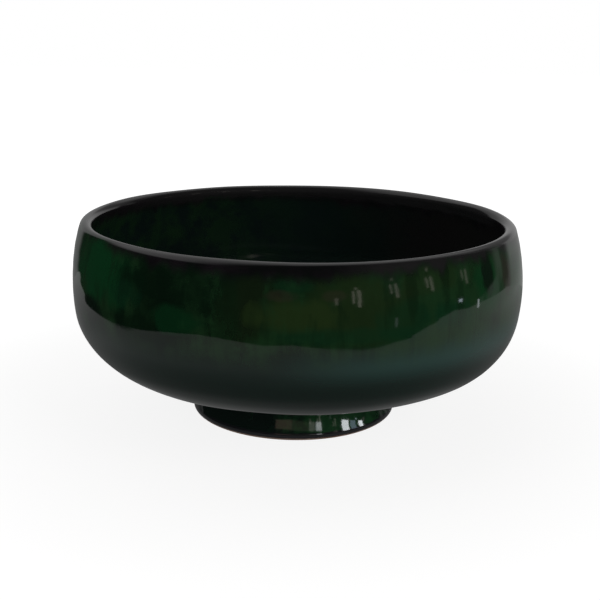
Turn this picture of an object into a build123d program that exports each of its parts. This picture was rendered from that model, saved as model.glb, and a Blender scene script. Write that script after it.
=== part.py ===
from build123d import *

import os
from dataclasses import dataclass, replace
from math import asin, atan2, cos, degrees, hypot, radians, sin, sqrt

# A hand-thrown earthenware bowl on a flared foot, glazed inside and out.
# The bowl is turned about Z and stands on its foot at z = 0. Every outline is drawn in the
# half plane of radius r and height z, as circular arcs that meet smoothly, and then revolved.
# The finished surface is the outside of the glaze, and the clay lies one glaze coat below it.
# Lengths are in millimetres and angles in degrees.

# Overall sizes.
WIDEST_DIAMETER = 200.0
HEIGHT = 89.0

# Wall, measured over both coats of glaze.
WALL = 5.8
GLAZE = 0.5

# Outside of the bowl, from the foot up: a shallow underside, a tight belly, an upright wall.
UNDERSIDE_ARC = 300.0
BELLY_ARC = 30.0
UPPER_ARC = 80.0
UNDERSIDE_SLOPE = 20.0  # of the surface where the underside meets the belly
BELLY_TURN = 8.0  # below the widest circle, where the belly meets the upper wall

# Inside of the bowl: a shallow dish of a floor, and the round that carries it into the wall.
FLOOR = 6.4  # at its middle, over the clay and the upper coat of glaze
FLOOR_ARC = 260.0
INNER_BELLY_ARC = 30.0

# Foot ring: a hollow-curved outer wall that flares down to a rounded toe.
FOOT_HEIGHT = 14.2  # up its outer wall, to the underside of the bowl
FOOT_RADIUS = 46.5  # at the widest of the toe
FOOT_FLARE = 3.5  # of the toe beyond the foot's top
FOOT_WALL_ARC = 40.0
FOOT_TOP_WALL = 7.0
TOE_WALL = 7.0  # from the toe's widest to where the inner round meets the table
TOE_ROUND = 2.2
INNER_TOE_ROUND = 1.2
RECESS_SAG = 1.6  # of the recess ceiling's middle below its edge
SLIP = 0.8  # of the clay slip that holds the foot to the bowl

# Where one glaze ends and the next begins.
RIM_BAND_OUTSIDE = 2.6  # below the lip's round end, along the wall
RIM_BAND_INSIDE = 1.6
FOOT_GLAZE_END = -25.0  # round the toe from its widest point, where bare clay begins

DOWN = -90.0
HALF_TURN = 180.0
FULL_TURN = 360.0

foot_top_radius = FOOT_RADIUS - FOOT_FLARE
recess_radius = foot_top_radius - FOOT_TOP_WALL


@dataclass(frozen=True)
class Circle2:
    """A circle in the (r, z) half plane."""

    r: float
    z: float
    radius: float

    def at(self, angle):
        """The point at an angle from +r."""
        a = radians(angle)
        return self.r + self.radius * cos(a), self.z + self.radius * sin(a)

    def angle_to(self, point):
        """The angle from +r to a point."""
        return degrees(atan2(point[1] - self.z, point[0] - self.r))

    def grown(self, distance):
        """The same circle with a larger or smaller radius."""
        return replace(self, radius=self.radius + distance)

    def lower_point(self, r):
        """The point at radius r on the circle's lower half."""
        return r, self.z - sqrt(self.radius**2 - (r - self.r) ** 2)


@dataclass(frozen=True)
class Stretch:
    """A part of a circle, from one angle to another, as the finished surface of a wall.

    clay is the side that the clay is on: -1 towards the circle's centre, 1 away from it.
    """

    circle: Circle2
    start: float
    end: float
    clay: int

    def edge(self, depth=0.0):
        """The arc at a depth below the finished surface."""
        circle = self.circle.grown(self.clay * depth)
        middle = (self.start + self.end) / 2
        return ThreePointArc(circle.at(self.start), circle.at(middle), circle.at(self.end))

    def ends(self, depth=0.0):
        """The first and last points at a depth below the finished surface."""
        circle = self.circle.grown(self.clay * depth)
        return circle.at(self.start), circle.at(self.end)

    def cut(self, start=None, end=None):
        """The same stretch with another start or end angle."""
        return replace(
            self,
            start=self.start if start is None else start,
            end=self.end if end is None else end,
        )


def crossing(a, b, side):
    """Where circles a and b cross, on the left (side 1) or the right (-1) of the way from a to b."""
    apart = hypot(b.r - a.r, b.z - a.z)
    along = (apart**2 + a.radius**2 - b.radius**2) / (2 * apart)
    across = side * sqrt(a.radius**2 - along**2)
    ur, uz = (b.r - a.r) / apart, (b.z - a.z) / apart
    return a.r + along * ur - across * uz, a.z + along * uz + across * ur


def revolved(edges):
    """The solid that a closed outline makes when it turns about Z."""
    on_rz = Plane.XZ
    outline = Wire([on_rz * edge for edge in edges])
    return revolve(make_face(outline), axis=Axis.Z)


# --- The finished surface of the bowl, outside ---

underside_turn = DOWN + UNDERSIDE_SLOPE
upper_centre_r = WIDEST_DIAMETER / 2 - UPPER_ARC
belly_centre_r = upper_centre_r + (UPPER_ARC - BELLY_ARC) * cos(radians(BELLY_TURN))
underside_centre_r = belly_centre_r + (BELLY_ARC - UNDERSIDE_ARC) * cos(radians(underside_turn))

# The foot sets how high the bowl is carried, and each arc's centre follows from the one below.
underside_centre_z = FOOT_HEIGHT + sqrt(
    UNDERSIDE_ARC**2 - (foot_top_radius - underside_centre_r) ** 2
)
belly_centre_z = underside_centre_z + (UNDERSIDE_ARC - BELLY_ARC) * sin(radians(underside_turn))
upper_centre_z = belly_centre_z + (UPPER_ARC - BELLY_ARC) * sin(radians(BELLY_TURN))

underside_circle = Circle2(underside_centre_r, underside_centre_z, UNDERSIDE_ARC)
belly_circle = Circle2(belly_centre_r, belly_centre_z, BELLY_ARC)
upper_circle = Circle2(upper_centre_r, upper_centre_z, UPPER_ARC)

# The lip is a half circle that closes the wall, and its top is the bowl's height.
mid_wall_radius = UPPER_ARC - WALL / 2
lip_angle = degrees(asin((HEIGHT - WALL / 2 - upper_centre_z) / mid_wall_radius))
lip_circle = Circle2(*upper_circle.grown(-WALL / 2).at(lip_angle), WALL / 2)

foot_corner = (foot_top_radius, FOOT_HEIGHT)
underside = Stretch(underside_circle, underside_circle.angle_to(foot_corner), underside_turn, -1)
belly = Stretch(belly_circle, underside_turn, -BELLY_TURN, -1)
upper_wall = Stretch(upper_circle, -BELLY_TURN, lip_angle, -1)
lip = Stretch(lip_circle, lip_angle, lip_angle + HALF_TURN, -1)

# --- The ceiling of the recess inside the foot, which the floor's thickness is measured from ---

clay_underside = underside_circle.grown(-GLAZE)
seat_inner = clay_underside.lower_point(recess_radius)
recess_arc = (recess_radius**2 + RECESS_SAG**2) / (2 * RECESS_SAG)
recess_level = seat_inner[1] - RECESS_SAG
recess = Circle2(0.0, recess_level + recess_arc, recess_arc)

# --- The finished surface of the bowl, inside ---

# The inner wall keeps the wall's thickness, the floor is a shallow dish centred on the axis,
# and the inner belly is the round that touches both.
inner_wall_circle = upper_circle.grown(-WALL)
floor_circle = Circle2(0.0, recess_level + FLOOR + FLOOR_ARC, FLOOR_ARC)
inner_belly_centre = crossing(
    floor_circle.grown(-INNER_BELLY_ARC), inner_wall_circle.grown(-INNER_BELLY_ARC), 1
)
inner_belly_circle = Circle2(*inner_belly_centre, INNER_BELLY_ARC)
inner_belly_top = inner_wall_circle.angle_to(inner_belly_centre)
inner_belly_foot = floor_circle.angle_to(inner_belly_centre)

inner_wall = Stretch(inner_wall_circle, lip_angle, inner_belly_top, 1)
inner_belly = Stretch(inner_belly_circle, inner_belly_top, inner_belly_foot, 1)
floor = Stretch(floor_circle, inner_belly_foot, DOWN, 1)

# --- The finished surface of the foot ---

toe_circle = Circle2(FOOT_RADIUS - TOE_ROUND, TOE_ROUND, TOE_ROUND)
inner_toe_circle = Circle2(FOOT_RADIUS - TOE_WALL, INNER_TOE_ROUND, INNER_TOE_ROUND)
foot_wall_centre = crossing(
    toe_circle.grown(FOOT_WALL_ARC), Circle2(*foot_corner, FOOT_WALL_ARC), -1
)
foot_wall_circle = Circle2(*foot_wall_centre, FOOT_WALL_ARC)
toe_start = toe_circle.angle_to(foot_wall_centre)
foot_wall = Stretch(
    foot_wall_circle,
    foot_wall_circle.angle_to(foot_corner) % FULL_TURN,
    toe_start + HALF_TURN,
    1,
)
toe = Stretch(toe_circle, toe_start, DOWN, -1)

# --- Clay surfaces that the glaze and the slip lie between ---

foot_seat = clay_underside.grown(SLIP)
foot_wall_clay = foot_wall_circle.grown(GLAZE)
foot_inner_top = foot_seat.lower_point(recess_radius)
clay_corner = crossing(clay_underside, foot_wall_clay, -1)
foot_outer_top = crossing(foot_seat, foot_wall_clay, -1)

# --- Where the rim's glaze begins and ends ---

rim_band_bottom = lip_angle - degrees(RIM_BAND_OUTSIDE / UPPER_ARC)
rim_band_inner = lip_angle - degrees(RIM_BAND_INSIDE / inner_wall_circle.radius)


def between(circle, first, last):
    """The shorter arc of a circle from one point to another."""
    a, b = circle.angle_to(first), circle.angle_to(last)
    middle = circle.at(a + ((b - a + HALF_TURN) % FULL_TURN - HALF_TURN) / 2)
    return ThreePointArc(first, middle, last)


def coat(stretches):
    """A coat of glaze over stretches of the finished surface, down to the clay."""
    outside = [stretch.edge() for stretch in stretches]
    inside = [stretch.edge(GLAZE) for stretch in stretches]
    start, under_start = stretches[0].ends()[0], stretches[0].ends(GLAZE)[0]
    end, under_end = stretches[-1].ends()[1], stretches[-1].ends(GLAZE)[1]
    closing = [Line(start, under_start), Line(end, under_end)]
    return revolved(outside + inside + closing)


def bowl_body():
    """The thrown clay of the bowl: floor, belly, wall and lip in one piece."""
    seat = between(clay_underside, seat_inner, underside.ends(GLAZE)[1])
    wall = [s.edge(GLAZE) for s in (belly, upper_wall, lip, inner_wall, inner_belly, floor)]
    middle_top, middle_bottom = floor.ends(GLAZE)[1], recess.at(DOWN)
    ceiling = between(recess, middle_bottom, seat_inner)
    return revolved([ceiling, seat, *wall, Line(middle_top, middle_bottom)])


def luting_slip():
    """The ring of slip that joins the foot to the scored underside of the bowl."""
    return revolved(
        [
            between(clay_underside, seat_inner, clay_corner),
            between(foot_wall_clay, clay_corner, foot_outer_top),
            between(foot_seat, foot_outer_top, foot_inner_top),
            Line(foot_inner_top, seat_inner),
        ]
    )


def foot_ring():
    """The thrown clay ring that the bowl stands on, bare where it meets the table.

    The toe is at its full size where it is bare, and one coat of glaze smaller above that.
    """
    bare = toe.cut(start=FOOT_GLAZE_END)
    glazed = toe.cut(end=FOOT_GLAZE_END)
    inner_toe_low, inner_toe_top = inner_toe_circle.at(DOWN), inner_toe_circle.at(HALF_TURN)
    return revolved(
        [
            between(foot_seat, foot_inner_top, foot_outer_top),
            between(foot_wall_clay, foot_outer_top, glazed.ends(GLAZE)[0]),
            glazed.edge(GLAZE),
            Line(glazed.ends(GLAZE)[1], bare.ends()[0]),
            bare.edge(),
            Line(bare.ends()[1], inner_toe_low),
            between(inner_toe_circle, inner_toe_low, inner_toe_top),
            Line(inner_toe_top, foot_inner_top),
        ]
    )


def outer_glaze():
    """The green coat on the outside, from the rim's band down to the foot."""
    wall = upper_wall.cut(end=rim_band_bottom)
    return revolved(
        [
            underside.edge(),
            belly.edge(),
            wall.edge(),
            Line(wall.ends()[1], wall.ends(GLAZE)[1]),
            wall.edge(GLAZE),
            belly.edge(GLAZE),
            between(clay_underside, belly.ends(GLAZE)[0], clay_corner),
            Line(clay_corner, foot_corner),
        ]
    )


def rim_glaze():
    """The dark coat over the lip and a little way down each side."""
    outside = upper_wall.cut(start=rim_band_bottom)
    inside = inner_wall.cut(end=rim_band_inner)
    return coat([outside, lip, inside])


def inner_glaze():
    """The green coat inside, from the rim's band down and across the floor."""
    return coat([inner_wall.cut(start=rim_band_inner), inner_belly, floor])


def foot_glaze():
    """The green coat on the foot's outer wall, ending part of the way round its toe."""
    glazed_toe = toe.cut(end=FOOT_GLAZE_END)
    return revolved(
        [
            foot_wall.edge(),
            glazed_toe.edge(),
            Line(glazed_toe.ends()[1], glazed_toe.ends(GLAZE)[1]),
            glazed_toe.edge(GLAZE),
            between(foot_wall_clay, glazed_toe.ends(GLAZE)[0], clay_corner),
            Line(clay_corner, foot_corner),
        ]
    )


def base_glaze():
    """The coat on the ceiling of the recess inside the foot."""
    edge_top = recess.lower_point(recess_radius)
    under = recess.grown(GLAZE)
    edge_bottom = under.lower_point(recess_radius)
    middle_top, middle_bottom = recess.at(DOWN), under.at(DOWN)
    return revolved(
        [
            between(recess, middle_top, edge_top),
            Line(edge_top, edge_bottom),
            between(under, edge_bottom, middle_bottom),
            Line(middle_bottom, middle_top),
        ]
    )


NODES = {
    "bowl_body": bowl_body,
    "luting_slip": luting_slip,
    "foot_ring": foot_ring,
    "outer_glaze": outer_glaze,
    "rim_glaze": rim_glaze,
    "inner_glaze": inner_glaze,
    "foot_glaze": foot_glaze,
    "base_glaze": base_glaze,
}

os.makedirs("parts", exist_ok=True)
for name, make in NODES.items():
    export_step(make(), f"parts/{name}.step")
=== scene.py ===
"""A hand-thrown bowl on a flared foot, in deep green glaze with a dark rim, in a plain pale studio."""

import logging
import math
from dataclasses import dataclass
from enum import Enum
from typing import Any, Union

import bpy
import numpy as np
from mathutils import Matrix, Vector


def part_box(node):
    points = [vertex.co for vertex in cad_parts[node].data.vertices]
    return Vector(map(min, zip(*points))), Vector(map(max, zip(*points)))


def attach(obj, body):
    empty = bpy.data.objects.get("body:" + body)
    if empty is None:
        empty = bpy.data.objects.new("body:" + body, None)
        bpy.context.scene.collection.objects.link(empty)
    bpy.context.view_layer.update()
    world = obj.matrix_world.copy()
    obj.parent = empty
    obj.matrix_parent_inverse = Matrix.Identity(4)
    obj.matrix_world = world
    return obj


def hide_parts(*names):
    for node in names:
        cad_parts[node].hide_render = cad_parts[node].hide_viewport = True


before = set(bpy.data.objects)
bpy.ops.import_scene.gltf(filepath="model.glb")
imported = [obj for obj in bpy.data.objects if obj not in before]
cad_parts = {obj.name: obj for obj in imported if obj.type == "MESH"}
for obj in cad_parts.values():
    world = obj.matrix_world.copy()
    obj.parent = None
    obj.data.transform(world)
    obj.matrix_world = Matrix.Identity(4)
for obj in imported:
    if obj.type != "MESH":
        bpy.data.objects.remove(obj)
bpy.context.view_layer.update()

log = logging.getLogger("bowl")

MM = 0.001
DEGREE = math.pi / 180.0
TURN = 2.0 * math.pi
ON_AXIS = 1e-7  # A radius below which a point counts as on the axis.
NOT_ZERO = 1e-9  # Keeps a root or a quotient off zero.
FINE_STEP = 0.1 * MM  # The spacing of points round tight turns.
CREASE = 42 * DEGREE  # Edges sharper than this aren't smoothed.
BODY = "root"


class Slot(Enum):
    """The record's material slots."""

    CLAY = "bare_clay"
    GREEN = "green_glaze"
    RIM = "rim_glaze_dark"


# --- Outlines in the half plane of radius r and height z ---


@dataclass(frozen=True)
class Circle:
    """A circle in the half plane of radius and height, in metres."""

    r: float
    z: float
    radius: float

    def grown(self, distance: float) -> "Circle":
        """The same circle with its radius changed."""
        return Circle(self.r, self.z, self.radius + distance)

    def at(self, angle: float) -> tuple[float, float]:
        """The point at an angle from +r, in radians."""
        return self.r + self.radius * math.cos(angle), self.z + self.radius * math.sin(angle)

    def angle_to(self, r: float, z: float) -> float:
        """The angle from +r to a point, in radians."""
        return math.atan2(z - self.z, r - self.r)

    def low(self, r: float) -> tuple[float, float]:
        """The point at radius r on the circle's lower half."""
        return r, self.z - math.sqrt(self.radius**2 - (r - self.r) ** 2)

    def meet(self, other: "Circle", side: int) -> tuple[float, float]:
        """Where two circles cross.

        Args:
            other: The other circle.
            side: 1 for the crossing on the left of the way to the other centre, -1 for the right.

        Returns:
            The crossing point.
        """
        way_r, way_z = other.r - self.r, other.z - self.z
        apart = math.hypot(way_r, way_z)
        along = (apart**2 + self.radius**2 - other.radius**2) / (2 * apart)
        across = side * math.sqrt(self.radius**2 - along**2)
        unit_r, unit_z = way_r / apart, way_z / apart
        return self.r + along * unit_r - across * unit_z, self.z + along * unit_z + across * unit_r


@dataclass(frozen=True)
class Skin:
    """A run of points along a finished surface.

    Attributes:
        rows: One row a point: radius, height, the outward normal's two parts, the distance along
            the surface from the run's own zero, and the depth below the surface.
    """

    rows: np.ndarray

    @staticmethod
    def arc(circle: Circle, start: float, end: float, clay: int, step: float = 0.25 * MM) -> "Skin":
        """Points along an arc.

        Args:
            circle: The circle that the surface lies on.
            start: The angle where the arc starts, in radians.
            end: The angle where it ends.
            clay: The side that the clay is on, -1 towards the circle's centre, 1 away from it.
            step: The spacing of the points.

        Returns:
            The run, with its distances from its own start.
        """
        count = max(4, int(abs(end - start) * circle.radius / step) + 2)
        angle = np.linspace(start, end, count)
        across, up = np.cos(angle), np.sin(angle)
        along = np.abs(angle - start) * circle.radius
        place = [circle.r + circle.radius * across, circle.z + circle.radius * up]
        return Skin(np.stack([*place, -clay * across, -clay * up, along, 0 * angle], axis=1))

    @staticmethod
    def line(start: tuple[float, float], end: tuple[float, float], step: float = 0.6 * MM) -> "Skin":
        """Points along a straight run, with the normal on the right of the way along it.

        Args:
            start: The radius and height where it starts.
            end: The radius and height where it ends.
            step: The spacing of the points.

        Returns:
            The run.
        """
        way = np.array(end) - np.array(start)
        length = float(np.hypot(*way))
        share = np.linspace(0.0, 1.0, max(2, int(length / step) + 2))
        unit = way / length
        place = np.array(start) + share[:, None] * way
        side = np.tile([unit[1], -unit[0]], (len(share), 1))
        return Skin(np.column_stack([place, side, share * length, 0 * share]))

    @staticmethod
    def joined(runs: list["Skin"]) -> "Skin":
        """Runs end to end as one, with the distances carried on from each to the next.

        Args:
            runs: The runs, each of which starts where the last one ends.

        Returns:
            The whole run.
        """
        rows, reach = [], 0.0
        for run in runs:
            moved = run.rows.copy()
            moved[:, 4] += reach
            reach = moved[-1, 4]
            rows.append(moved if not rows else moved[1:])
        return Skin(np.concatenate(rows))

    def length(self) -> float:
        """The distance along the surface at the run's end."""
        return float(self.rows[-1, 4])

    def part(self, start: float, end: float, count: int, crowd: float = 0.0) -> "Skin":
        """A part of the run, with its points spaced anew.

        The point at share u of the count lies at share u - crowd * sin(2 pi u) / (2 pi) of the
        distance, so a crowd near 1 gathers the points at both ends.

        Args:
            start: The distance where the part starts.
            end: The distance where it ends.
            count: How many points it has.
            crowd: How strongly its ends are crowded, from 0 to 1.

        Returns:
            The part.
        """
        u = np.linspace(0.0, 1.0, count)
        along = start + (end - start) * (u - crowd * np.sin(TURN * u) / TURN)
        rows = np.stack([np.interp(along, self.rows[:, 4], column) for column in self.rows.T], axis=1)
        rows[:, 2:4] /= np.hypot(rows[:, 2], rows[:, 3])[:, None]
        return Skin(rows)

    def sunk(self, depth: float) -> "Skin":
        """The same run at a depth below the surface."""
        rows = self.rows.copy()
        rows[:, 5] += depth
        return Skin(rows)

    def reversed(self) -> "Skin":
        """The same run the other way along."""
        return Skin(self.rows[::-1])

    def coat(self, thickness: float) -> "Skin":
        """The closed outline of a coat whose outside is this run."""
        return Skin(np.concatenate([self.rows, self.sunk(thickness).reversed().rows]))


@dataclass(frozen=True)
class BowlForm:
    """The bowl's outline, worked out from the frame's boxes and the arcs that it is thrown to.

    Outside, a shallow underside, a tight belly, an upright wall and a round lip follow each other
    smoothly. Inside, a wall, a belly and a dished floor do the same.

    Attributes:
        widest: The belly's greatest radius.
        height: The height of the lip's top.
        foot_height: The height where the foot meets the underside.
        foot_radius: The foot's greatest radius, at its toe.
        recess_radius: The radius of the recess inside the foot.
        recess_rise: The height of the recess's middle.
        floor_level: The lowest height of the finished floor inside.
        glaze: The thickness of every coat.
        wall: The thickness of the finished wall.
        slip: The thickness of the slip that holds the foot.
        underside_arc: The radius of the underside's arc.
        belly_arc: The radius of the belly's arc.
        upper_arc: The radius of the upper wall's arc.
        underside_turn: The angle where the underside turns into the belly.
        belly_turn: The angle where the belly turns into the upper wall.
        floor_arc: The radius of the dished floor.
        inner_belly_arc: The radius of the turn from wall to floor inside.
        foot_flare: How much wider the foot is at its toe than at its top.
        foot_wall_arc: The radius of the foot's hollow wall.
        toe_wall: The foot's thickness near the table.
        toe_round: The radius of the toe outside.
        inner_toe_round: The radius of the toe inside.
        recess_sag: How far the recess's ceiling is dished.
        rim_outside: How far the rim's coat reaches down the outside.
        rim_inside: How far it reaches down the inside.
        foot_glaze_end: The angle round the toe where the foot's glaze stops.
    """

    widest: float
    height: float
    foot_height: float
    foot_radius: float
    recess_radius: float
    recess_rise: float
    floor_level: float
    glaze: float = 0.5 * MM
    wall: float = 5.8 * MM
    slip: float = 0.8 * MM
    underside_arc: float = 300.0 * MM
    belly_arc: float = 30.0 * MM
    upper_arc: float = 80.0 * MM
    underside_turn: float = -70.0 * DEGREE
    belly_turn: float = -8.0 * DEGREE
    floor_arc: float = 260.0 * MM
    inner_belly_arc: float = 30.0 * MM
    foot_flare: float = 3.5 * MM
    foot_wall_arc: float = 40.0 * MM
    toe_wall: float = 7.0 * MM
    toe_round: float = 2.2 * MM
    inner_toe_round: float = 1.2 * MM
    recess_sag: float = 1.6 * MM
    rim_outside: float = 2.6 * MM
    rim_inside: float = 1.6 * MM
    foot_glaze_end: float = -25.0 * DEGREE

    @staticmethod
    def from_frame() -> "BowlForm":
        """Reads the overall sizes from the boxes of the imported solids.

        Returns:
            The outline.
        """
        return BowlForm(
            widest=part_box("outer_glaze")[1].x,
            height=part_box("rim_glaze")[1].z,
            foot_height=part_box("outer_glaze")[0].z,
            foot_radius=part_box("foot_ring")[1].x,
            recess_radius=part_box("base_glaze")[1].x,
            recess_rise=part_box("base_glaze")[1].z,
            floor_level=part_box("inner_glaze")[0].z + BowlForm.glaze,
        )

    def belly_centre_r(self) -> float:
        """The radius of the belly arc's centre."""
        return self.widest - self.upper_arc + (self.upper_arc - self.belly_arc) * math.cos(self.belly_turn)

    def corner(self) -> tuple[float, float]:
        """The point where the foot's outer wall meets the underside."""
        return self.foot_radius - self.foot_flare, self.foot_height

    def underside_circle(self) -> Circle:
        """The underside's circle, which passes through the foot's top."""
        step = self.belly_arc - self.underside_arc
        centre_r = self.belly_centre_r() + step * math.cos(self.underside_turn)
        rise = math.sqrt(self.underside_arc**2 - (self.corner()[0] - centre_r) ** 2)
        return Circle(centre_r, self.foot_height + rise, self.underside_arc)

    def belly_circle(self) -> Circle:
        """The belly's circle, which touches the underside's."""
        step = self.underside_arc - self.belly_arc
        centre_z = self.underside_circle().z + step * math.sin(self.underside_turn)
        return Circle(self.belly_centre_r(), centre_z, self.belly_arc)

    def upper_circle(self) -> Circle:
        """The upper wall's circle, which touches the belly's."""
        centre_z = self.belly_circle().z - (self.upper_arc - self.belly_arc) * math.sin(self.belly_turn)
        return Circle(self.widest - self.upper_arc, centre_z, self.upper_arc)

    def lip_angle(self) -> float:
        """The angle on the upper wall's circle where the lip's half round starts."""
        upper = self.upper_circle()
        return math.asin((self.height - self.wall / 2 - upper.z) / (self.upper_arc - self.wall / 2))

    def outside(self) -> Skin:
        """The finished outside, from the foot up to the lip's half round.

        Returns:
            The run.
        """
        base = self.underside_circle()
        underside = Skin.arc(base, base.angle_to(*self.corner()), self.underside_turn, -1)
        belly = Skin.arc(self.belly_circle(), self.underside_turn, self.belly_turn, -1)
        upper = Skin.arc(self.upper_circle(), self.belly_turn, self.lip_angle(), -1)
        return Skin.joined([underside, belly, upper])

    def lip(self) -> Skin:
        """The finished lip, a half round over the wall.

        Returns:
            The run.
        """
        angle = self.lip_angle()
        centre = self.upper_circle().grown(-self.wall / 2).at(angle)
        return Skin.arc(Circle(*centre, self.wall / 2), angle, angle + math.pi, -1, FINE_STEP)

    def inside(self) -> Skin:
        """The finished inside, from the lip's half round down to the middle of the floor.

        Returns:
            The run.
        """
        wall = self.upper_circle().grown(-self.wall)
        floor = Circle(0.0, self.floor_level + self.floor_arc, self.floor_arc)
        centre = floor.grown(-self.inner_belly_arc).meet(wall.grown(-self.inner_belly_arc), 1)
        top, bottom = wall.angle_to(*centre), floor.angle_to(*centre)
        upper = Skin.arc(wall, self.lip_angle(), top, 1)
        belly = Skin.arc(Circle(*centre, self.inner_belly_arc), top, bottom, 1)
        return Skin.joined([upper, belly, Skin.arc(floor, bottom, -math.pi / 2, 1)])

    def toe_circle(self) -> Circle:
        """The circle of the foot's rounded toe, which stands on the table."""
        return Circle(self.foot_radius - self.toe_round, self.toe_round, self.toe_round)

    def foot_outside(self) -> Skin:
        """The finished foot, from its top down its wall and round the toe to the table.

        Returns:
            The run.
        """
        toe = self.toe_circle()
        centre = toe.grown(self.foot_wall_arc).meet(Circle(*self.corner(), self.foot_wall_arc), -1)
        wall = Circle(*centre, self.foot_wall_arc)
        turn_in = toe.angle_to(*centre)
        hollow = Skin.arc(wall, wall.angle_to(*self.corner()) % TURN, turn_in + math.pi, 1)
        return Skin.joined([hollow, Skin.arc(toe, turn_in, -math.pi / 2, -1, FINE_STEP)])

    def foot_inside(self) -> Skin:
        """The foot from the table, round its inner toe and up to the recess.

        Returns:
            The run.
        """
        inner = Circle(self.foot_radius - self.toe_wall, self.inner_toe_round, self.inner_toe_round)
        standing = Skin.line((self.toe_circle().r, 0.0), (inner.r, 0.0))
        turn = Skin.arc(inner, -math.pi / 2, -math.pi, -1, FINE_STEP)
        rise = Skin.line(inner.at(math.pi), self.foot_seat().low(self.recess_radius))
        return Skin.joined([standing, turn, rise])

    def clay_underside(self) -> Circle:
        """The circle of the clay under the outer glaze, where the foot is luted on."""
        return self.underside_circle().grown(-self.glaze)

    def foot_seat(self) -> Circle:
        """The circle of the foot's top, under the slip."""
        return self.clay_underside().grown(self.slip)

    def recess_circle(self) -> Circle:
        """The circle of the clay ceiling inside the foot."""
        radius = (self.recess_radius**2 + self.recess_sag**2) / (2 * self.recess_sag)
        return Circle(0.0, self.recess_rise - self.recess_sag + radius, radius)


# --- The unevenness that throwing and dipping by hand leave ---


def eased(value: np.ndarray, low: float, high: float) -> np.ndarray:
    """0 below low, 1 above high, and 3u^2 - 2u^3 between, where u is the share of the way."""
    u = np.clip((value - low) / (high - low), 0.0, 1.0)
    return u * u * (3 - 2 * u)


@dataclass(frozen=True)
class Hand:
    """How far the thrown bowl strays from true.

    Attributes:
        form: The true outline.
        lump: The height of the soft swellings all over.
        ring: The height of the finger rings.
        ring_pitch: The distance from one finger ring to the next.
        oval: The share by which the rim is out of round.
        rim_tilt: Half of how far the rim drops from its right side to its left.
        rim_sway: Half of how far it dips at its front and back.
        foot_slip: How far the foot is luted off the middle, towards -X.
        hip: How far the underside leans out towards +X.
        rim_drop: How far the whole rim has sunk.
        belly_in: How far the belly is drawn in.
        waves: How many waves the swellings are made of.
        wave_length: Their usual length, up the wall and outwards.
        seed: The start of the random draws.
    """

    form: BowlForm
    lump: float = 0.10 * MM
    ring: float = 0.03 * MM
    ring_pitch: float = 6.5 * MM
    oval: float = 0.012
    rim_tilt: float = 0.12 * MM
    rim_sway: float = 0.10 * MM
    foot_slip: float = 1.07 * MM
    hip: float = 1.8 * MM
    rim_drop: float = 0.06 * MM
    belly_in: float = 0.28 * MM
    waves: int = 26
    wave_length: float = 42 * MM
    seed: int = 11

    def relief(self, around: np.ndarray, rows: np.ndarray) -> np.ndarray:
        """The height of the surface above its true place.

        It is a sum of waves a * cos(k * angle + m * z + q * r + phase), with whole numbers k up to
        11 and a height a that falls as k grows, and of finger rings cos(2 pi * distance / pitch -
        angle). Both fade towards the axis and towards the table.

        Args:
            around: The angles round the axis, as one row.
            rows: The outline's rows.

        Returns:
            The height for each row and angle.
        """
        draw = np.random.default_rng(self.seed)
        r, z, along = rows[:, 0:1], rows[:, 1:2], rows[:, 4:5]
        height = np.zeros((len(rows), around.size))
        for _ in range(self.waves):
            turns = draw.integers(-11, 12)
            up, out = draw.normal(0.0, TURN / self.wave_length, 2)
            phase = draw.uniform(0.0, TURN)
            size = self.lump / (1.0 + 0.12 * abs(turns))
            height += 0.42 * size * np.cos(turns * around + up * z + out * r + phase)
        swell = 0.5 + 0.5 * np.cos(2 * around + along / (19 * MM))
        height += self.ring * swell * np.cos(TURN * along / self.ring_pitch - around)
        return height * eased(r, 0.0, 26 * MM) * eased(z, 0.0, 5 * MM)

    def stray(self, r: np.ndarray, z: np.ndarray, around: np.ndarray) -> np.ndarray:
        """Moves points of the true bowl to where the potter's hands left them.

        The rim is oval and sways, both in proportion to a weight that grows from 0 at 0.6 of the
        height to 1 at the lip. The foot sits off the middle, and the underside leans the other way.
        Within the foot's radius the slip fades out between 0.15 and 0.4 of the height.

        Args:
            r: Radii.
            z: Heights.
            around: Angles round the axis.

        Returns:
            The places of the points, with x, y and z along the last axis.
        """
        high = np.clip(z / self.form.height / 0.4 - 1.5, 0.0, 1.1) ** 1.5
        out = r * (1 + self.oval * high * np.cos(2 * (around - 0.09)))
        z = z - self.rim_drop * high
        out = out - self.belly_in * eased(r, 0.5 * self.form.widest, 0.9 * self.form.widest)
        lean = self.hip * np.clip(1 - 2 * z / self.form.height, 0.0, 1.0)
        beyond_foot = eased(r, self.form.foot_radius, 1.4 * self.form.foot_radius)
        aside = beyond_foot * lean - (1 - beyond_foot) * self.foot_slip
        above_foot = eased(z, 0.15 * self.form.height, 0.4 * self.form.height)
        aside = aside * (1 - above_foot * (r < self.form.foot_radius))
        sway = self.rim_tilt * (np.cos(around) - 1) + self.rim_sway * (np.cos(2 * around) - 1)
        place = [out * np.cos(around) + aside, out * np.sin(around), z + high * sway]
        return np.stack(place, axis=-1)


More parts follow.
